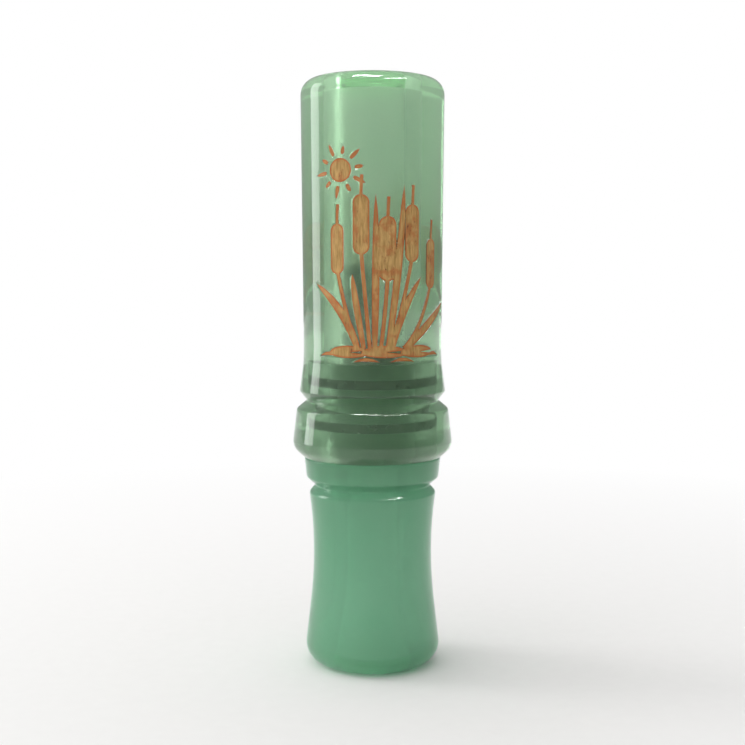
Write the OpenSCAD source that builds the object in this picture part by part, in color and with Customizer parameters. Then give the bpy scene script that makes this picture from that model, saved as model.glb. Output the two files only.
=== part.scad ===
// Short-reed call: a turned barrel and insert, two O-rings, and a drop-in gut with its reed and wedge.
// The origin is the centre of the exhaust end. +Z runs along the call to the mouthpiece, and -Y is the front.

/* [Barrel] */
// Height of the whole call, from the exhaust end to the mouthpiece
call_h = 128.2; // [124:0.1:134]
// Height of the seam between insert and barrel
seam_z = 46; // [45.5:0.1:46.5]
// Radius of the mouthpiece at its lip
lip_r = 15.65; // [15.3:0.05:16]
// Rounding of the lip's outer edge
lip_round = 3.4; // [2:0.1:4.5]
// Radius of the slim part above the band
barrel_waist_r = 15.13; // [14.9:0.01:15.2]
// Radius of the band where its cone meets its belly
band_r = 17.72; // [17.2:0.01:18.4]
// Radius at the bottom of the lanyard groove
lanyard_groove_r = 14.5; // [13.5:0.1:14.9]
// Radius of the bore that the air is blown through
mouth_bore_r = 7.14; // [6.8:0.01:8]

/* [Insert] */
// Radius of the exhaust end before its edge is rounded
foot_r = 15.34; // [15:0.01:15.8]
// Rounding of the exhaust end's outer edge
foot_round = 4.4; // [2:0.1:5]
// Radius of the bell's mouth at the exhaust end
bell_r = 8.6; // [7:0.1:9.2]
// Radius of the straight exhaust bore
exhaust_bore_r = 5.56; // [4.9:0.01:5.8]
// Radius at the bottom of the insert's decorative groove
insert_groove_r = 12.6; // [12:0.1:13.2]
// Radius of the insert where it meets the barrel
shoulder_r = 15.05; // [14.8:0.01:15.4]

/* [Tenon and O-rings] */
// Radius of the socket in the barrel
socket_r = 9.525; // [9.5:0.005:9.6]
// Radial clearance between tenon and socket
tenon_gap = 0.075; // [0.02:0.005:0.1]
// Length of the tenon above the seam
tenon_h = 20.4; // [20:0.1:21]
// Heights of the O-rings above the seam
o_ring_heights = [7, 16.3];
// Width of an O-ring when it is squeezed in its groove
o_ring_w = 2; // [1.8:0.05:2.1]

/* [Gut] */
// Radius of the gut's tube
gut_r = 6.35; // [6.2:0.01:6.4]
// Depth of the gut in the insert
gut_depth = 22; // [20:0.1:23]
// Height of the gut's whole tube above the tenon
gut_tube_proud = 4.2; // [3:0.1:5]
// Length of the open tone board beyond the tube
tone_board_h = 17.4; // [15:0.1:20]
// Slope of the tone board where it leaves the reed
tone_board_slope = 2.5; // [2.4:0.1:3.5]
// Width of the tone channel
tone_channel_w = 4.4; // [3.5:0.1:5]
// Radius of the gut's own bore
gut_bore_r = 4.76; // [4.7:0.01:4.85]
// Thickness of the reed
reed_t = 0.3; // [0.25:0.01:0.4]
// Width of the reed
reed_w = 9.2; // [8.5:0.1:9.3]

/* [Engraving] */
// Depth of the engraving in the barrel's wall
engraving_depth = 0.35; // [0.25:0.05:0.6]
// Depth of the fill's surface below the barrel's wall
fill_recess = 0.08; // [0.02:0.01:0.15]
// Height of the waterline that the front engraving stands on
waterline_z = 68.6; // [68:0.1:70]
// Height of the back feathers' quill tips
feather_z = 80; // [78:0.1:84]

/* [Hidden] */
$fn = 96;
clearance = 0.02;               // between parts that touch
arc_step_turn = 6;              // an arc's straight pieces turn no more than this, in degrees,
arc_step_length = 1.6;          // and are no longer than this
gut_socket_gap = 0.05;          // radial, between gut and insert
tenon_r = socket_r - tenon_gap;
tenon_top = seam_z + tenon_h;
socket_top = tenon_top + 0.3;
gut_z = tenon_top - gut_depth;
clamp_z = tenon_top + gut_tube_proud;
gut_top = clamp_z + tone_board_h;
reed_seat_z = gut_z + 12.6;     // where the gut's full bore becomes the half slot for reed and wedge
groove_floor_r = tenon_r - 1.4;
wedge_x = 2 * clearance + reed_t;
wall_z = [seam_z + 24, call_h]; // the straight stretch of the barrel's wall
wall_r = [barrel_waist_r, lip_r];
engraved_z = [seam_z + 20.6, call_h - 12];
reach = lip_r + 2;              // from the axis to just outside the barrel's wall

// ---- outlines ----

function unit(v) = v / norm(v);
function flat(p) = [p[0], p[1]];

// The arc of radius f that replaces the corner at a point, between the points before and after it
function corner(before, at, after, f) =
    let (u = unit(before - at), v = unit(after - at))
    let (half = acos(u * v) / 2)
    let (centre = at + unit(u + v) * f / sin(half))
    let (from = at + u * f / tan(half) - centre, to = at + v * f / tan(half) - centre)
    let (start = atan2(from[1], from[0]), turn = (180 - 2 * half) * sign(cross(from, to)))
    let (steps = ceil(max(2, abs(turn) / arc_step_turn, abs(turn) * PI / 180 * f / arc_step_length)))
    [for (i = [0 : steps]) centre + f * [cos(start + turn * i / steps), sin(start + turn * i / steps)]];

// A closed outline of [x, y, rounding] points with its corners rounded
function rounded(path) =
    let (n = len(path))
    [for (i = [0 : n - 1])
        let (at = flat(path[i]), before = flat(path[(i + n - 1) % n]), after = flat(path[(i + 1) % n]))
        each path[i][2] > 0 ? corner(before, at, after, path[i][2]) : [at]];

// ---- barrel ----

// Radius of the wall's straight stretch, carried on past its ends
function wall_at(z) = wall_r[0] + (wall_r[1] - wall_r[0]) * (z - wall_z[0]) / (wall_z[1] - wall_z[0]);

barrel_outline = [
    [socket_r + 0.6, seam_z, 0],
    [15.1, seam_z, 0],
    [band_r, seam_z + 2.38, 3.2],
    [16.71, seam_z + 10.7, 1.2],
    [lanyard_groove_r, seam_z + 12.55, 0.3],
    [16.05, seam_z + 14.6, 0.3],
    [15.27, seam_z + 20.6, 4],
    [barrel_waist_r, wall_z[0], 60],
    [lip_r, call_h, lip_round],
    [mouth_bore_r, call_h, 1.6],
    [mouth_bore_r, socket_top, 0],
    [socket_r, socket_top, 0],
    [socket_r, seam_z + 0.6, 0],
];

module barrel() {
    color("darkseagreen", 0.8)
        difference() {
            rotate_extrude() polygon(rounded(barrel_outline));
            intersection() {
                wall_skin(outer = 1);
                union() {
                    front_marks();
                    back_marks();
                }
            }
        }
}

// ---- insert ----

insert_outline = [
    [bell_r, 0, 0.8],
    [foot_r, 0, foot_round],
    [12.36, 25.87, 93.7],
    [14, 38.2, 1],
    [insert_groove_r, 39.8, 0.3],
    [14.6, 41.6, 1],
    [shoulder_r, seam_z - clearance, 0.3],
    [tenon_r, seam_z - clearance, 0],
    [tenon_r, tenon_top, 0.5],
    [gut_r + gut_socket_gap, tenon_top, 0.4],
    [gut_r + gut_socket_gap, gut_z, 0],
    [exhaust_bore_r, gut_z, 0],
    [exhaust_bore_r, 18, 60],
];

module insert() {
    color("mediumaquamarine", 0.8)
        difference() {
            rotate_extrude() polygon(rounded(insert_outline));
            for (h = o_ring_heights) o_ring_groove(seam_z + h);
        }
}

module o_ring_groove(z) {
    groove_w = o_ring_w + 0.3;
    translate([0, 0, z - groove_w / 2])
        difference() {
            cylinder(r = tenon_r + 1, h = groove_w);
            translate([0, 0, -1]) cylinder(r = groove_floor_r, h = groove_w + 2);
        }
}

// ---- O-rings ----

// The round section is flattened where it meets the groove's floor and the socket's wall
module o_ring(z) {
    inner = groove_floor_r + clearance;
    outer = socket_r - 0.015;
    color("#161a18")
        rotate_extrude()
            intersection() {
                translate([(inner + outer) / 2, z]) circle(d = o_ring_w);
                translate([inner, z - o_ring_w]) square([outer - inner, 2 * o_ring_w]);
            }
}

module o_ring_upper() o_ring(seam_z + o_ring_heights[1]);

module o_ring_lower() o_ring(seam_z + o_ring_heights[0]);

// ---- gut, reed and wedge ----

// The solid half is on -X, and the reed lies on the face that looks to +X
module gut() {
    color("#1d201f")
        difference() {
            intersection() {
                rotate_extrude()
                    polygon(rounded([[0, gut_z + clearance, 0], [gut_r, gut_z + clearance, 0.4],
                        [gut_r, gut_top, 0.6], [0, gut_top, 0]]));
                tone_board_front();
            }
            translate([0, 0, gut_z - 1]) cylinder(r = gut_bore_r, h = reed_seat_z - gut_z + 1);
            half_slot();
            tone_board_cut();
            tone_channel();
        }
}

// The tone board seen from the reed's side, with its tip's corners rounded
module tone_board_front() {
    w = gut_r + 1;
    translate([-w, 0, 0])
        rotate([90, 0, 90])
            linear_extrude(2 * w)
                polygon(rounded([[-w, gut_z - 1, 0], [w, gut_z - 1, 0], [w, clamp_z + 1, 0],
                    [gut_r, clamp_z + 1, 0], [gut_r, gut_top, 3], [-gut_r, gut_top, 3],
                    [-gut_r, clamp_z + 1, 0], [-w, clamp_z + 1, 0]]));
}

// The half-round slot in the tube that holds the reed's root and the wedge
module half_slot() {
    intersection() {
        translate([0, 0, reed_seat_z - 1]) cylinder(r = gut_bore_r, h = clamp_z - reed_seat_z + 2);
        translate([0, -gut_r, reed_seat_z - 1]) cube([gut_r, 2 * gut_r, clamp_z - reed_seat_z + 2]);
    }
}

// How far the tone board has curved away from the reed at a height above the clamp line
function board_drop(h) = h * tan(tone_board_slope) + 0.0012 * h * h;

module tone_board_cut() {
    steps = 8;
    along_y(2 * gut_r + 2)
        polygon([
            for (i = [0 : steps]) [-board_drop(i * tone_board_h / steps), clamp_z + i * tone_board_h / steps],
            [-board_drop(tone_board_h), gut_top + 1],
            [gut_r + 1, gut_top + 1],
            [gut_r + 1, clamp_z],
        ]);
}

// The air channel under the reed, deepest where it enters the bore
module tone_channel() {
    along_y(tone_channel_w)
        polygon([[0.5, reed_seat_z - 1], [-3.4, reed_seat_z - 1], [-3.2, clamp_z], [-1.6, gut_top - 2.4],
            [0.5, gut_top - 2.4]]);
}

// Sweeps an outline drawn in X and Z evenly to both sides of the XZ plane
module along_y(w) translate([0, w / 2, 0]) rotate([90, 0, 0]) linear_extrude(w) children();

module reed() {
    foot = reed_seat_z + 1;
    tip = gut_top - 0.4;
    color("#cfe0d8", 0.7)
        translate([clearance, 0, 0])
            rotate([90, 0, 90])
                linear_extrude(reed_t)
                    polygon(rounded([[-reed_w / 2, foot, 0.4], [reed_w / 2, foot, 0.4],
                        [reed_w / 2, tip, 2.4], [-reed_w / 2, tip, 2.4]]));
}

// Its nose is sloped to start in the slot, and its proud end is relieved so that the reed can open
module wedge() {
    foot = reed_seat_z + 1.4;
    top = clamp_z + 1.6;
    color("#262a28")
        intersection() {
            translate([0, 0, foot - 1]) cylinder(r = gut_bore_r - clearance, h = top - foot + 2);
            along_y(2 * gut_r)
                polygon(rounded([[wedge_x, foot + 1, 0.4], [wedge_x + 1.4, foot, 0.4], [gut_r, foot, 0],
                    [gut_r, top, 0], [wedge_x + 1.4, top, 0.5], [wedge_x, clamp_z, 0]]));
        }
}

// ---- engraving ----

// The cone-shaped skin of the barrel's wall that the engraving is cut in
module wall_skin(outer) {
    low = engraved_z[0] - 0.5;
    high = engraved_z[1];
    rotate_extrude()
        polygon([
            [wall_at(low) - engraving_depth, low],
            [wall_at(low) + outer, low],
            [wall_at(high) + outer, high],
            [wall_at(high) - engraving_depth, high],
        ]);
}

// Stands a flat outline up and carries it outwards at an angle round the barrel from the front
module facing(angle) rotate([0, 0, angle]) rotate([90, 0, 0]) linear_extrude(reach) children();

function bend(a, b, c, t) = (1 - t) * (1 - t) * a + 2 * t * (1 - t) * b + t * t * c;
function bend_side(a, b, c, t) =
    let (d = unit((1 - t) * (b - a) + t * (c - b)))
    [-d[1], d[0]];

// A strip along the curve from a to c, as half wide as taper(t) says
function strip(a, b, c, taper, steps = 10) = concat(
    [for (i = [0 : steps]) bend(a, b, c, i / steps) + bend_side(a, b, c, i / steps) * taper(i / steps)],
    [for (i = [steps : -1 : 0]) bend(a, b, c, i / steps) - bend_side(a, b, c, i / steps) * taper(i / steps)]
);

// A leaf of marsh grass: widest below its middle and pointed at its tip
module blade(a, b, c, w) {
    polygon(strip(a, b, c, function(t) 0.03 + w / 2 * pow(1 - t, 0.7) * (0.5 + 1.6 * t)));
}

// A stroke of even width
module stroke(a, b, c, w) polygon(strip(a, b, c, function(t) w / 2, 6));

// A stem with its seed head and the spike above it, standing on the waterline
module cattail(foot_x, head_z, head_h, head_w) {
    r = head_w / 2;
    foot = [foot_x, waterline_z + 2];
    stroke(foot, [foot_x * 0.4, head_z - 8], [0, head_z + 1], 0.85);
    stroke([0, head_z + head_h - 1], [0, head_z + head_h + 1], [0.2, head_z + head_h + 4], 0.7);
    polygon(rounded([[-r, head_z, r * 0.98], [r, head_z, r * 0.98],
        [r, head_z + head_h, r * 0.98], [-r, head_z + head_h, r * 0.98]]));
}

// A lens-shaped leaf that floats on the water, notched on one side
module lily_pad(w, h, z) {
    difference() {
        polygon(strip([-w / 2, z], [0, z + 0.4], [w / 2, z], function(t) 0.03 + h / 2 * sqrt(sin(180 * t))));
        polygon([[0.4, z + 0.1], [w / 2, z + 0.45], [w / 2, z - 0.35]]);
    }
}

// One crest of a ripple
module ripple(w, z) {
    polygon(strip([-w / 2, z], [0, z + 1.1], [w / 2, z], function(t) 0.05 + 0.33 * sin(180 * t)));
}

module sun(r, z) {
    rays = 10;
    polygon([for (i = [0 : 29]) [r * cos(12 * i), z + r * sin(12 * i)]]);
    for (i = [0 : rays - 1])
        translate([0, z])
            rotate(360 * i / rays + 9)
                blade([r + 0.8, 0], [r + 1.5, 0], [r + 2.5 + (i % 2), 0], 1);
}

// Angle round the barrel, foot's offset, height and length of the head above the waterline, and its width
cattails = [
    [-29, 4.4, 17.5, 10.5, 3.1],
    [-9, 1.8, 21.5, 12.5, 3.5],
    [12, -1.4, 16, 13.5, 3.7],
    [33, -4.6, 20, 12, 3.4],
    [54, -7, 14.5, 10.5, 3],
];

// Angle round the barrel, then the foot, bend and tip above the waterline, and the width
blades = [
    [-30, [4.6, 2], [2, 11], [-5.4, 15.5], 2.2],
    [-17, [2.6, 2], [0.8, 12], [0.2, 17.5], 1.7],
    [1, [0.2, 2], [0.5, 18], [0.4, 34], 1.9],
    [21, [-2.2, 2], [0.5, 20], [1.2, 36], 2],
    [30, [-3.6, 2], [-2, 10], [3.2, 17], 2],
    [56, [-7, 2], [-1, 8], [6.2, 11.5], 2.3],
];

// Angle round the barrel, height above the waterline and width
pads = [[-20, 1.1, 9], [10, 1.1, 10], [40, 1.1, 9]];
crests = [[-38, 0.3, 4.4], [-5, -0.9, 5.5], [25, -0.9, 5.5], [58, 0.2, 4.8]];

module front_marks() {
    for (c = cattails) facing(c[0]) cattail(c[1], waterline_z + c[2], c[3], c[4]);
    for (b = blades)
        facing(b[0])
            translate([0, waterline_z]) blade(b[1], b[2], b[3], b[4]);
    for (p = pads) facing(p[0]) lily_pad(p[2], 2.6, waterline_z + p[1]);
    for (c = crests) facing(c[0]) ripple(c[2], waterline_z + c[1]);
    facing(-26) sun(2.5, waterline_z + 39);
}

// One side of a feather: full near the quill, pointed at the tip, and split into barbs
module vane(side) {
    half_w = 4.6;
    steps = 14;
    shaft_gap = 0.3;
    difference() {
        polygon([
            for (i = [0 : steps])
                let (t = i / steps)
                [side * (shaft_gap + half_w * pow(sin(180 * pow(t, 0.75)), 0.6) * (1 - 0.25 * t)), 6 + 21 * t],
            [side * shaft_gap, 27],
            [side * shaft_gap, 6],
        ]);
        for (h = side > 0 ? [8.5, 15, 20.5] : [11.5, 18])
            polygon([[side * 1.3, h], [side * 6, h + 3.1], [side * 6, h + 4.1]]);
    }
}

module feather() {
    vane(1);
    vane(-1);
    stroke([0, 0], [0, 4], [0, 8], 0.9);
}

// A pair of feathers that part like a V, over a few ripples
module back_marks() {
    for (side = [-1, 1]) {
        facing(180 + side * 26)
            translate([-side * 5, feather_z]) rotate(-side * 20) feather();
        facing(180 + side * 15) ripple(6, feather_z - 3.2);
        facing(180 + side * 41) ripple(5.5, feather_z - 1);
    }
    facing(180) ripple(5, feather_z - 5.6);
}

module front_engraving_fill() {
    color("#a5854e")
        intersection() {
            wall_skin(outer = -fill_recess);
            front_marks();
        }
}

module back_engraving_fill() {
    color("#a5854e")
        intersection() {
            wall_skin(outer = -fill_recess);
            back_marks();
        }
}

barrel();
insert();
o_ring_upper();
o_ring_lower();
gut();
reed();
wedge();
front_engraving_fill();
back_engraving_fill();
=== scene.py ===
import math

import bmesh
import bpy
import numpy as np
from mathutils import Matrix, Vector


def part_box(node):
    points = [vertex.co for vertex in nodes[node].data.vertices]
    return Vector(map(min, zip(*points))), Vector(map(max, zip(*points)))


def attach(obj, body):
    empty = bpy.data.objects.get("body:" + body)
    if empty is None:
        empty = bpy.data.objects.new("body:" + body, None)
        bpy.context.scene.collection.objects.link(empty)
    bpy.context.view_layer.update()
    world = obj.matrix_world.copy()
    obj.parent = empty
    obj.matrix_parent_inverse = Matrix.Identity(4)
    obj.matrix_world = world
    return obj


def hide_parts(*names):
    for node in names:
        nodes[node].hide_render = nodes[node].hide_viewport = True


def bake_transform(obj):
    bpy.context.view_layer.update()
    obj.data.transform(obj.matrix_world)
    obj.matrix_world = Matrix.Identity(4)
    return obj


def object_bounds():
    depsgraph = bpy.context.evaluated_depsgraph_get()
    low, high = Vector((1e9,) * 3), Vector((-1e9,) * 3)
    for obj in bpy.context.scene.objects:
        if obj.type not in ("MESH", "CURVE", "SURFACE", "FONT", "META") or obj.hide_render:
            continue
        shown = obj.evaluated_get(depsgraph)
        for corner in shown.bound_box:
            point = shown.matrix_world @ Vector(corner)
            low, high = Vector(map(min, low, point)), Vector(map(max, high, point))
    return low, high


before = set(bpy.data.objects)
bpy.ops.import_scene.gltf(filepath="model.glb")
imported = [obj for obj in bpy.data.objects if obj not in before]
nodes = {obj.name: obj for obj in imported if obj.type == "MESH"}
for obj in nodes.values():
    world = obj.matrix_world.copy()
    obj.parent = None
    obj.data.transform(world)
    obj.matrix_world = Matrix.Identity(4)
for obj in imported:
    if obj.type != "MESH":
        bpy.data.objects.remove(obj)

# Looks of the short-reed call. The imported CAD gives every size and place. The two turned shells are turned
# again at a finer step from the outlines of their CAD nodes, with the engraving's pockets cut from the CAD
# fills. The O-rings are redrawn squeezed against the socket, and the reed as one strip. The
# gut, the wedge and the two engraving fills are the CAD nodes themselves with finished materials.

cad_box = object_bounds()
MM = 0.001

# ---- turned shells ----
SHELL_SEGMENTS = 256
WALL_STEP = 1.0 * MM            # longest step along the shells, so that the engraving cuts small faces
SECTION_AZIMUTH = 91.7          # degrees from the front towards +X, where no engraving crosses the wall
SAME_POINT = 0.0001 * MM        # vertices this close together are one vertex
SAME_RING = 0.02 * MM           # and points of the outline this close together are one turned edge
RING_FEWEST = 24                # a turned edge has at least this many vertices in the CAD mesh
SMOOTH_TURN = math.radians(13)  # outline points that turn less than this belong to one curve
CURVE_STEP = 0.25 * MM          # curved stretches longer than this are halved
SHARP_EDGE = math.radians(30)

# ---- engraving ----
WALL_SEARCH_IN = 1.0 * MM       # the wall round a fill lies no further in than this from its outside
WALL_SEARCH_DOWN = 5.0 * MM     # and starts this far below it
POCKET_INSET = 0.01 * MM        # the pocket is this much smaller than its fill, so no faces coincide
CUTTER_RISE = 1.0 * MM          # how far the cutter stands out of the wall
SCORCH_WIDTH = 0.8 * MM         # how far the scorched rim reaches in from an engraved edge

# ---- O-rings ----
RING_CONTACT = 0.05 * MM        # how far a squeezed ring presses into the socket's wall, so that no air shows
RING_FLAT = 0.95                # share of a ring's height that lies flat on the socket
RING_STEPS = 8                  # steps round each corner of a ring's section

# ---- reed ----
REED_ROWS = 60
REED_COLUMNS = 12
REED_TIP_CROWDING = 1.5         # above 1, the rows lie closer together towards the rounded tip
REED_CORNER = 0.25              # radius of the tip's corners as a share of the reed's width

# ---- materials ----
BARREL_BORED = 10.6 * MM        # surfaces of the barrel nearer the axis than this keep the drill's frosting
INSERT_BORED = 9.6 * MM         # and those of the insert, whose tenon is machined but not polished
JOINT_SHADE_FROM = 7.4 * MM          # between this and those, the socket and the tenon are rubbed and greased, and coloured with painted shade
JOINT_SHADE_ABOVE_TENON = 1 * MM     # as far up as this above the tenon, where the socket ends
POLISHED_END = 3 * MM           # the polish reaches this far into the bores at both ends of the call
FINISH_EDGE = 0.1 * MM          # how gradually one finish turns into the next
BORED_CLEAR = 0.95              # how much light the frosted surfaces let through
JOINT_SHADE_CLEAR = 0.55             # and how much of that the rubbed and greased ones do, so that their painted shade colour shows
ACRYLIC_IOR = 1.49
POLYESTER_IOR = 1.6

# ---- camera, floor and light ----
CAMERA_DISTANCE = 0.270
CAMERA_HEIGHT = 0.0848
CAMERA_PITCH = 4.3              # degrees below the horizon
CAMERA_LENS = 59.2
FLOOR_HALF = 2.0
FLOOR_DROP = 0.05 * MM          # how far the floor lies below the call, so that no faces coincide
FLOOR_FADE = (0.05, 0.3)        # the floor turns white between these distances from the axis
DAYLIGHT = 0.98                 # strength of the light from all round
DAYLIGHT_LEAN = (0.6, -0.3, 0)  # and how much of it is moved to the left and the back
GLOSSY_SHARE = 0.25             # how bright that light is in reflections
AIM_HEIGHT = 0.1                # where on the axis the ceiling lamps point
CEILING_RADIANCE = 30


# ---------------------------------------------------------------- meshes

def direction(azimuth):
    """The level direction at an azimuth in degrees, 0 towards the front and 90 towards +X."""
    turn = math.radians(azimuth)
    return Vector((math.sin(turn), -math.cos(turn), 0))


def add_object(name, data):
    """A new object with this mesh, lamp or camera, in the scene."""
    obj = bpy.data.objects.new(name, data)
    bpy.context.scene.collection.objects.link(obj)
    return obj


def closed_mesh(name, verts, faces):
    """A mesh whose faces all look outwards."""
    mesh = bpy.data.meshes.new(name)
    mesh.from_pydata(verts, [], faces)
    bm = bmesh.new()
    bm.from_mesh(mesh)
    bmesh.ops.recalc_face_normals(bm, faces=bm.faces)
    bm.to_mesh(mesh)
    bm.free()
    return mesh


def welded(mesh):
    """An editable copy of a mesh, with its doubled vertices made one."""
    bm = bmesh.new()
    bm.from_mesh(mesh)
    bmesh.ops.remove_doubles(bm, verts=bm.verts, dist=SAME_POINT)
    bm.normal_update()
    return bm


def vertex_array(mesh):
    """The vertices of a mesh as an array with one row each."""
    co = np.zeros(len(mesh.vertices) * 3)
    mesh.vertices.foreach_get("co", co)
    return co.reshape(-1, 3)


def shade_by_angle(mesh):
    """Smooth shading that keeps the real edges sharp."""
    mesh.shade_smooth()
    mesh.set_sharp_from_angle(angle=SHARP_EDGE)


# ---------------------------------------------------------------- turning

def turned_rings(mesh):
    """The (radius, height) of every turned edge, averaged over its vertices."""
    co = vertex_array(mesh)
    rz = np.c_[np.hypot(co[:, 0], co[:, 1]), co[:, 2]]
    _, member, count = np.unique(
        np.round(rz / (SAME_RING / 2)), axis=0, return_inverse=True, return_counts=True
    )
    total = np.zeros((len(count), 2))
    np.add.at(total, member.ravel(), rz)
    return (total / count[:, None])[count >= RING_FEWEST]


def section_loop(mesh, azimuth):
    """The (radius, height) points, in order, where a half-plane from the axis cuts a turned mesh."""
    out = direction(azimuth)
    bm = welded(mesh)
    cut = bmesh.ops.bisect_plane(
        bm,
        geom=[*bm.verts, *bm.edges, *bm.faces],
        plane_co=(0, 0, 0),
        plane_no=direction(azimuth + 90),
    )
    edges = {item for item in cut["geom_cut"] if isinstance(item, bmesh.types.BMEdge)}
    start = max((v for e in edges for v in e.verts), key=lambda v: v.co.dot(out))
    loop, last = [start], None
    for _ in edges:
        last = next(e for e in loop[-1].link_edges if e in edges and e is not last)
        following = last.other_vert(loop[-1])
        if following is start:
            break
        loop.append(following)
    points = [(v.co.dot(out), v.co.z) for v in loop]
    bm.free()
    return points


def turned_outline(node):
    """The outline of a turned CAD node: its rings, in the order in which its section passes them."""
    mesh = nodes[node].data
    rings = turned_rings(mesh)
    outline = []
    for point in section_loop(mesh, SECTION_AZIMUTH):
        gap = np.hypot(*(rings - point).T)
        nearest = gap.argmin()
        ring = tuple(rings[nearest])
        if gap[nearest] < SAME_RING and ring not in outline:
            outline.append(ring)
    return np.array(outline)


def hermite(start, end, start_slope, end_slope, t):
    """The point at share t of a curve that leaves start and reaches end with these slopes."""
    return (
        (2 * t**3 - 3 * t**2 + 1) * start
        + (t**3 - 2 * t**2 + t) * start_slope
        + (3 * t**2 - 2 * t**3) * end
        + (t**3 - t**2) * end_slope
    )


def unit_rows(array):
    """An array with every row made one long."""
    return array / np.linalg.norm(array, axis=1)[:, None]


def curved(outline):
    """The closed outline with its curves rounded between their points and its long steps divided."""
    before, after = np.roll(outline, 1, axis=0), np.roll(outline, -1, axis=0)
    leaving = unit_rows(after - outline)
    smooth = (unit_rows(outline - before) * leaving).sum(axis=1) > math.cos(SMOOTH_TURN)
    tangent = unit_rows(after - before)
    fine = []
    for i, start in enumerate(outline):
        end = after[i]
        j = (i + 1) % len(outline)
        length = np.linalg.norm(end - start)
        start_slope = (tangent[i] if smooth[i] else leaving[i]) * length
        end_slope = (tangent[j] if smooth[j] else leaving[i]) * length
        bends = (smooth[i] or smooth[j]) and length > CURVE_STEP
        steps = max(math.ceil(length / WALL_STEP), 2 if bends else 1)
        fine += [hermite(start, end, start_slope, end_slope, t) for t in np.arange(steps) / steps]
    return np.array(fine)


def lathe(name, outline):
    """A closed mesh turned from a closed outline of (radius, height) points."""
    count = len(outline)
    turns = np.arange(SHELL_SEGMENTS) * 2 * math.pi / SHELL_SEGMENTS
    radius, height = outline.T
    verts = np.stack(
        [
            np.outer(np.cos(turns), radius),
            np.outer(np.sin(turns), radius),
            np.broadcast_to(height, (SHELL_SEGMENTS, count)),
        ],
        axis=-1,
    ).reshape(-1, 3)
    faces = []
    for k in range(SHELL_SEGMENTS):
        here, there = k * count, (k + 1) % SHELL_SEGMENTS * count
        for i in range(count):
            j = (i + 1) % count
            faces.append((here + i, there + i, there + j, here + j))
    return closed_mesh(name, verts.tolist(), faces)


# ---------------------------------------------------------------- pieces

def dress(obj, material):
    """Gives an object one material."""
    obj.data.materials.clear()
    obj.data.materials.append(material)


def wall_radius(outline, heights, node):
    """The radius of the wall round an engraving at some heights."""
    low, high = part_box(node)
    outer = max(abs(low.y), abs(high.y)) - WALL_SEARCH_IN
    wall = outline[(outline[:, 0] > outer) & (outline[:, 1] > low.z - WALL_SEARCH_DOWN)]
    wall = wall[wall[:, 1].argsort()]
    return np.interp(heights, wall[:, 1], wall[:, 0])


def radial(vert):
    """The level direction from the axis to a vertex."""
    return Vector((vert.co.x, vert.co.y, 0)).normalized()


def pocket_cutter(node, outline):
    """The shape of an engraving's pocket: its fill, a hair smaller, and standing out of the wall."""
    bm = welded(nodes[node].data)
    heights = [v.co.z for v in bm.verts]
    depth = wall_radius(outline, heights, node) - [v.co.to_2d().length for v in bm.verts]
    middle = (depth.min() + depth.max()) / 2
    moves = []
    for vert, below in zip(bm.verts, depth):
        out = radial(vert)
        sides = sum((f.normal for f in vert.link_faces if abs(f.normal.dot(out)) < 0.5), Vector())
        rise = CUTTER_RISE if below < middle else POCKET_INSET
        moves.append(out * rise - sides.normalized() * POCKET_INSET)
    for vert, move in zip(bm.verts, moves):
        vert.co += move
    mesh = bpy.data.meshes.new("cutter")
    bm.to_mesh(mesh)
    bm.free()
    return add_object("cutter", mesh)


def cut_pocket(shell, node, outline):
    """Cuts the pocket of one engraving into the shell."""
    cutter = pocket_cutter(node, outline)
    boolean = shell.modifiers.new("pocket", "BOOLEAN")
    boolean.operation = "DIFFERENCE"
    boolean.solver = "MANIFOLD"
    boolean.object = cutter
    evaluated = bpy.context.evaluated_depsgraph_get()
    evaluated.update()
    cut = bpy.data.meshes.new_from_object(shell.evaluated_get(evaluated))
    shell.modifiers.clear()
    shell.data = cut
    bpy.data.objects.remove(cutter)


def finish_piece(piece, material, node):
    """Gives a piece its looks and puts it in place of its CAD node."""
    shade_by_angle(piece.data)
    dress(piece, material)
    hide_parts(node)


def make_shell(name, node, material, engravings=()):
    """A turned shell with the pockets of its engravings, riding on the body of its own name."""
    outline = turned_outline(node)
    shell = add_object(name, lathe(name, curved(outline)))
    for engraving in engravings:
        cut_pocket(shell, engraving, outline)
    finish_piece(shell, material, node)
    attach(shell, node)


def make_o_ring(name, node, material):
    """A squeezed O-ring: flat where it lies on the groove and on the socket."""
    low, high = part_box(node)
    radii = np.hypot(*vertex_array(nodes[node].data)[:, :2].T)
    corner = (high.z - low.z) * (1 - RING_FLAT) / 2
    inner, outer = radii.min() + corner, radii.max() + RING_CONTACT - corner
    bottom, top = low.z + corner, high.z - corner
    section = []
    for quarter, (r, z) in enumerate(((outer, top), (inner, top), (inner, bottom), (outer, bottom))):
        for k in range(RING_STEPS + 1):
            turn = (quarter + k / RING_STEPS) * math.pi / 2
            section.append((r + corner * math.cos(turn), z + corner * math.sin(turn)))
    ring = add_object(name, lathe(name, np.array(section)))
    finish_piece(ring, material, node)
    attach(ring, "seals")


def reed_rows(low, high):
    """The height and half width of every row of the reed, up to its rounded tip."""
    corner = (high.y - low.y) * REED_CORNER
    rows = []
    for k in range(REED_ROWS + 1):
        z = low.z + (high.z - low.z) * (1 - (1 - k / REED_ROWS) ** REED_TIP_CROWDING)
        over = max(0.0, z - (high.z - corner))
        rows.append((z, high.y - corner + math.sqrt(max(corner**2 - over**2, 0))))
    return rows


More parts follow.
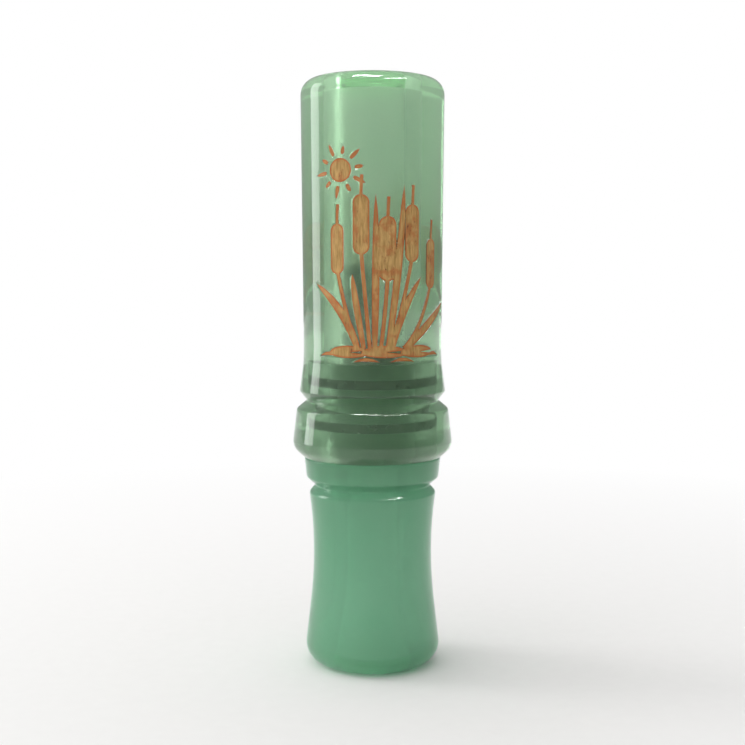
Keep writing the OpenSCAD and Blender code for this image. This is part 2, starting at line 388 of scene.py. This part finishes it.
def reed_faces(layer):
    """The faces of the reed's two sheets, which lie layer vertices apart, and of the edge between them."""
    width = REED_COLUMNS + 1
    faces = []
    for k in range(REED_ROWS):
        for c in range(REED_COLUMNS):
            a = k * width + c
            quad = (a, a + 1, a + 1 + width, a + width)
            faces += [quad[::-1], tuple(i + layer for i in quad)]
    border = [k * width for k in range(REED_ROWS, 0, -1)]
    border += list(range(REED_COLUMNS))
    border += [k * width + REED_COLUMNS for k in range(REED_ROWS)]
    border += [REED_ROWS * width + c for c in range(REED_COLUMNS, 0, -1)]
    faces += [(a, b, b + layer, a + layer) for a, b in zip(border, border[1:] + border[:1])]
    return faces


def make_reed(material):
    """The reed as one thin strip with a round-cornered tip."""
    low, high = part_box("reed")
    columns = [2 * c / REED_COLUMNS - 1 for c in range(REED_COLUMNS + 1)]
    rows = reed_rows(low, high)
    verts = [(x, half * c, z) for x in (low.x, high.x) for z, half in rows for c in columns]
    strip = add_object("reed_strip", closed_mesh("reed_strip", verts, reed_faces(len(verts) // 2)))
    finish_piece(strip, material, "reed")
    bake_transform(strip)


# ---------------------------------------------------------------- materials

def colour(code):
    """A linear RGBA colour from a hex sRGB code such as "#7c9d86"."""
    parts = [int(code[i : i + 2], 16) / 255 for i in (1, 3, 5)]
    linear = [p / 12.92 if p <= 0.04045 else ((p + 0.055) / 1.055) ** 2.4 for p in parts]
    return (*linear, 1)


class Graph:
    """A node tree under construction. Its methods add nodes and return the output to link on."""

    def __init__(self, tree):
        self.tree = tree
        self.place = tree.nodes.new("ShaderNodeTexCoord").outputs["Object"]

    def connect(self, value, socket):
        """Links an output to a socket, or gives the socket a fixed value."""
        if isinstance(value, bpy.types.NodeSocket):
            self.tree.links.new(value, socket)
        else:
            socket.default_value = value

    def node(self, kind, inputs, **settings):
        made = self.tree.nodes.new(kind)
        for key, value in settings.items():
            setattr(made, key, value)
        for socket, value in inputs.items():
            self.connect(value, made.inputs[socket])
        return made

    def math(self, operation, a, b):
        return self.node("ShaderNodeMath", {0: a, 1: b}, operation=operation).outputs[0]

    def dot(self, a, b):
        return self.node("ShaderNodeVectorMath", {0: a, 1: b}, operation="DOT_PRODUCT").outputs["Value"]

    def stretched(self, x, y, z):
        """The object's place, scaled along each axis."""
        inputs = {0: self.place, 1: (x, y, z)}
        return self.node("ShaderNodeVectorMath", inputs, operation="MULTIPLY").outputs[0]

    def noise(self, scale, vector=None, detail=3.0, roughness=0.5):
        """Soft noise from 0 to 1. Scale is in features per metre, or per unit of a stretched place."""
        inputs = {"Vector": vector or self.place, "Scale": scale, "Detail": detail, "Roughness": roughness}
        return self.node("ShaderNodeTexNoise", inputs).outputs["Fac"]

    def remap(self, value, low, high, to_low=0.0, to_high=1.0):
        inputs = {"Value": value, "From Min": low, "From Max": high, "To Min": to_low, "To Max": to_high}
        return self.node("ShaderNodeMapRange", inputs).outputs[0]

    def between(self, value, low, high):
        """1 between low and high and 0 outside them."""
        above = self.remap(value, low - FINISH_EDGE, low)
        below = self.remap(value, high + FINISH_EDGE, high)
        return self.math("MULTIPLY", above, below)

    def mix(self, share, a, b):
        """Colour a turning into colour b."""
        made = self.tree.nodes.new("ShaderNodeMix")
        made.data_type = "RGBA"
        factor, first, second = made.inputs[0], made.inputs[6], made.inputs[7]
        self.connect(share, factor)
        self.connect(a, first)
        self.connect(b, second)
        return made.outputs[2]

    def bump(self, height, distance, strength):
        """A normal for a height map whose full range is distance metres deep."""
        inputs = {"Height": height, "Distance": distance, "Strength": strength}
        return self.node("ShaderNodeBump", inputs).outputs["Normal"]

    def axis_distance(self):
        """How far a point is from the call's axis, in metres."""
        level = self.stretched(1, 1, 0)
        return self.node("ShaderNodeVectorMath", {0: level}, operation="LENGTH").outputs["Value"]

    def height(self):
        """How high a point is, in metres."""
        return self.node("ShaderNodeSeparateXYZ", {0: self.place}).outputs["Z"]


class Shader(Graph):
    """A material under construction."""

    def __init__(self, name):
        self.material = bpy.data.materials.new(name)
        self.material.use_nodes = True
        self.material.node_tree.nodes.clear()
        super().__init__(self.material.node_tree)
        self.output = self.tree.nodes.new("ShaderNodeOutputMaterial")

    def surface(self, **inputs):
        """The finished surface, with the Principled inputs named with _ for spaces."""
        named = {key.replace("_", " "): value for key, value in inputs.items()}
        shader = self.node("ShaderNodeBsdfPrincipled", named)
        self.connect(shader.outputs[0], self.output.inputs["Surface"])


def bored_and_joint_shade(s, bored_to):
    """Where acrylic is bored, and where it is fitted in the joint of the two halves and painted with shade,
    from 0 to 1.
    """
    from_axis, height = s.axis_distance(), s.height()
    foot, lip = cad_box[0].z, cad_box[1].z
    seam, tenon_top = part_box("barrel")[0].z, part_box("insert")[1].z
    inside = s.between(height, foot + POLISHED_END, lip - POLISHED_END)
    bored = s.math("MULTIPLY", inside, s.remap(from_axis, bored_to, bored_to - FINISH_EDGE))
    in_joint = s.math(
        "MULTIPLY",
        s.between(height, seam, tenon_top + JOINT_SHADE_ABOVE_TENON),
        s.remap(from_axis, JOINT_SHADE_FROM, JOINT_SHADE_FROM + FINISH_EDGE),
    )
    return bored, s.math("MULTIPLY", bored, in_joint)


def acrylic_roughness(s, polished, bored):
    """A faint haze on the polish, and streaks along the bores where the drill left its frosting."""
    haze = s.noise(900, detail=5)
    streaks = s.noise(1, s.stretched(1800, 1800, 25), detail=4)
    outside = s.math("ADD", polished, s.remap(haze, 0.45, 0.75, 0.0, 0.05))
    inside = s.remap(streaks, 0.3, 0.7, 0.3, 0.5)
    return s.math(
        "ADD",
        s.math("MULTIPLY", outside, s.math("SUBTRACT", 1.0, bored)),
        s.math("MULTIPLY", inside, bored),
    )


def acrylic(name, dye, skin, cloud, rubbed_and_shade, roughness, bored_to, scatter, absorb):
    """Milky cast acrylic: tinted and polished outside, frosted by the drill inside, with painted shade in the
    joint, milky in its depth.
    """
    s = Shader(name)
    bored, joint_shade = bored_and_joint_shade(s, bored_to)
    clouded = s.mix(s.remap(s.noise(70, detail=4), 0.35, 0.65), colour(skin), colour(cloud))
    drilled = s.mix(bored, clouded, (1, 1, 1, 1))
    clear = s.math(
        "MULTIPLY", s.remap(bored, 0, 1, 1, BORED_CLEAR), s.remap(joint_shade, 0, 1, 1, JOINT_SHADE_CLEAR)
    )
    feed_lines = s.noise(1, s.stretched(40, 40, 5200), detail=2)
    hairlines = s.remap(s.noise(1, s.stretched(2600, 2600, 180), detail=2), 0.66, 0.72)
    relief = s.math("ADD", s.math("MULTIPLY", feed_lines, bored), s.math("MULTIPLY", hairlines, 0.06))
    s.surface(
        # In the joint the base colour is painted shade: a darker green that stands in for the shade of the
        # tenon, gut and O-rings inside, on surfaces that are rubbed and greased.
        Base_Color=s.mix(joint_shade, drilled, colour(rubbed_and_shade)),
        Roughness=acrylic_roughness(s, roughness, bored),
        IOR=ACRYLIC_IOR,
        Transmission_Weight=clear,
        Normal=s.bump(relief, 0.02 * MM, 0.5),
    )
    milk = s.node("ShaderNodeVolumeScatter", {"Color": (1, 1, 1, 1), "Density": scatter, "Anisotropy": 0.3})
    green = s.node("ShaderNodeVolumeAbsorption", {"Color": colour(dye), "Density": absorb})
    both = s.node("ShaderNodeAddShader", {0: milk.outputs[0], 1: green.outputs[0]})
    s.connect(both.outputs[0], s.output.inputs["Volume"])
    return s.material


def engraving_paint(name):
    """Tan fill with streaks down the call and a scorched rim."""
    s = Shader(name)
    flat = s.tree.nodes.new("ShaderNodeNewGeometry").outputs["Normal"]
    rounded = s.node("ShaderNodeBevel", {"Radius": SCORCH_WIDTH}, samples=8).outputs[0]
    grain = s.noise(1, s.stretched(2400, 2400, 330), detail=5, roughness=0.6)
    blotch = s.noise(420, detail=4)
    cracks = s.remap(s.noise(1, s.stretched(3300, 3300, 900), detail=2), 0.62, 0.68)
    ragged = s.remap(grain, 0.3, 0.7, -0.01, 0.01)
    rim = s.remap(s.math("ADD", s.dot(flat, rounded), ragged), 0.99, 0.95)
    tan = s.mix(s.remap(grain, 0.35, 0.62), colour("#94702f"), colour("#c29a5a"))
    tan = s.mix(s.remap(blotch, 0.5, 0.64, 0.0, 0.7), tan, colour("#a65c22"))
    tan = s.mix(s.math("MULTIPLY", cracks, s.remap(blotch, 0.45, 0.6)), tan, colour("#63350f"))
    s.surface(
        Base_Color=s.mix(rim, tan, colour("#b45a1c")),
        Roughness=s.remap(grain, 0.3, 0.7, 0.45, 0.75),
        Normal=s.bump(s.math("ADD", grain, s.math("MULTIPLY", rim, -0.8)), 0.05 * MM, 0.6),
    )
    return s.material


def machined_acetal(name, base, pitch):
    """Black acetal with fine tool lines round it and paler handling marks."""
    s = Shader(name)
    lines = s.noise(1, s.stretched(60, 60, 1 / pitch), detail=2)
    rubbed_and_shade = s.noise(500, detail=5)
    s.surface(
        Base_Color=s.mix(s.remap(rubbed_and_shade, 0.5, 0.75, 0.0, 0.5), colour(base), colour("#3a3f3d")),
        Roughness=s.remap(rubbed_and_shade, 0.3, 0.7, 0.38, 0.55),
        Normal=s.bump(lines, 0.02 * MM, 0.7),
    )
    return s.material


def rubber(name):
    """Black nitrile rubber, a little greasy in places."""
    s = Shader(name)
    grease = s.noise(700)
    s.surface(
        Base_Color=s.mix(s.noise(2500), colour("#060807"), colour("#101312")),
        Roughness=s.remap(grease, 0.35, 0.65, 0.25, 0.6),
        Normal=s.bump(s.noise(5000, detail=4), 0.01 * MM, 0.6),
    )
    return s.material


def reed_film(name):
    """Frosted polyester film, sanded along its length."""
    s = Shader(name)
    sanding = s.noise(1, s.stretched(900, 5200, 120))
    s.surface(
        Base_Color=s.mix(sanding, colour("#c9d8d2"), colour("#eef4f0")),
        Roughness=s.remap(sanding, 0.3, 0.7, 0.3, 0.5),
        IOR=POLYESTER_IOR,
        Transmission_Weight=0.55,
        Normal=s.bump(sanding, 0.01 * MM, 0.5),
    )
    return s.material


# ---------------------------------------------------------------- stage

def make_floor():
    """A plain pale floor that fades into the white of the world, so that no horizon shows."""
    mesh = bpy.data.meshes.new("floor")
    corners = [(x * FLOOR_HALF, y * FLOOR_HALF, 0) for x, y in ((-1, -1), (1, -1), (1, 1), (-1, 1))]
    mesh.from_pydata(corners, [], [(0, 1, 2, 3)])
    floor = add_object("floor", mesh)
    floor.location.z = -FLOOR_DROP
    s = Shader("floor_paper")
    paper_colour = s.mix(s.noise(300), (0.82, 0.81, 0.8, 1), (0.85, 0.84, 0.83, 1))
    paper = s.node("ShaderNodeBsdfDiffuse", {"Color": paper_colour})
    white = s.node("ShaderNodeEmission", {"Color": (1, 1, 1, 1)})
    fade = s.remap(s.axis_distance(), *FLOOR_FADE)
    both = s.node("ShaderNodeMixShader", {0: fade, 1: paper.outputs[0], 2: white.outputs[0]})
    s.connect(both.outputs[0], s.output.inputs["Surface"])
    dress(floor, s.material)


def make_world():
    """White where the camera sees it, daylight from the left and behind, and a dim room in reflections."""
    world = bpy.data.worlds.new("studio")
    bpy.context.scene.world = world
    world.use_nodes = True
    g = Graph(world.node_tree)
    path = g.node("ShaderNodeLightPath", {}).outputs
    toward = g.node("ShaderNodeNewGeometry", {}).outputs["Incoming"]
    daylight = g.math("ADD", DAYLIGHT, g.dot(toward, DAYLIGHT_LEAN))
    room = g.math("MULTIPLY", daylight, g.remap(path["Is Glossy Ray"], 0, 1, 1, GLOSSY_SHARE))
    background = g.tree.nodes["Background"].inputs
    g.connect(g.remap(path["Is Camera Ray"], 0, 1, room, 1), background["Strength"])
    g.connect((1, 1, 1, 1), background["Color"])


def make_light(name, azimuth, distance, height, width, tall, radiance, aim):
    """A rectangular lamp that looks at a height on the axis."""
    lamp = bpy.data.lights.new(name, "AREA")
    lamp.shape = "RECTANGLE"
    lamp.size = width
    lamp.size_y = tall
    lamp.energy = radiance * math.pi * width * tall
    obj = add_object(name, lamp)
    obj.location = direction(azimuth) * distance + Vector((0, 0, height))
    look = Vector((0, 0, aim)) - obj.location
    obj.rotation_euler = look.to_track_quat("-Z", "Y").to_euler()
    return obj


def make_reflection(name, azimuth, distance, height, width, tall):
    """A ceiling lamp that shows only as a streak on the polish."""
    lamp = make_light(name, azimuth, distance, height, width, tall, CEILING_RADIANCE, AIM_HEIGHT)
    lamp.visible_diffuse = False
    lamp.visible_transmission = False
    lamp.visible_volume_scatter = False


def make_lights():
    """A tall window at the left, and over the call a long lamp and a row of short ones."""
    make_light(
        "window", azimuth=-104, distance=0.6, height=0.22, width=0.22, tall=0.46, radiance=4.5, aim=0.09
    )
    make_reflection("ceiling_bar", azimuth=-22, distance=0.2, height=0.9, width=0.42, tall=0.2)
    for k, azimuth in enumerate((30, 46, 60, 76)):
        make_reflection(f"ceiling_lamp_{k}", azimuth, distance=0.5, height=0.8, width=0.1, tall=0.08)


def make_camera():
    """The camera in front of the call, looking slightly down."""
    camera = add_object("camera", bpy.data.cameras.new("camera"))
    camera.data.sensor_width = 36
    camera.data.lens = CAMERA_LENS
    camera.location = (0, -CAMERA_DISTANCE, CAMERA_HEIGHT)
    camera.rotation_euler = (math.radians(90 - CAMERA_PITCH), 0, 0)
    bpy.context.scene.camera = camera


def set_light_paths():
    """Enough bounces for light to cross the milky acrylic, and plain colours."""
    scene = bpy.context.scene
    scene.cycles.max_bounces = 32
    scene.cycles.volume_bounces = 16
    scene.cycles.transmission_bounces = 24
    scene.cycles.transparent_max_bounces = 16
    scene.view_settings.view_transform = "Standard"


# ---------------------------------------------------------------- the call

fills = ("front_engraving_fill", "back_engraving_fill")
# Each acrylic's rubbed colour is the painted shade of its part of the joint.
barrel_milk = acrylic(
    "barrel_milk", dye="#8ceaa2", skin="#c8f2c9", cloud="#beedc1", rubbed_and_shade="#56785f",
    roughness=0.03, bored_to=BARREL_BORED, scatter=56, absorb=4,
)
insert_milk = acrylic(
    "insert_milk", dye="#62efc2", skin="#a4edc0", cloud="#9aeaba", rubbed_and_shade="#7bb092",
    roughness=0.14, bored_to=INSERT_BORED, scatter=260, absorb=8,
)
make_shell("barrel_shell", "barrel", barrel_milk, fills)
make_shell("insert_shell", "insert", insert_milk)
paint = engraving_paint("engraving_paint")
for fill in fills:
    dress(nodes[fill], paint)
dress(nodes["gut"], machined_acetal("gut_acetal", "#0d0f0e", 0.09 * MM))
dress(nodes["wedge"], machined_acetal("wedge_acetal", "#151817", 0.15 * MM))
ring_rubber = rubber("ring_rubber")
for place in ("upper", "lower"):
    make_o_ring(f"squeezed_ring_{place}", f"o_ring_{place}", ring_rubber)
make_reed(reed_film("reed_film"))

make_floor()
make_world()
make_lights()
make_camera()
set_light_paths()
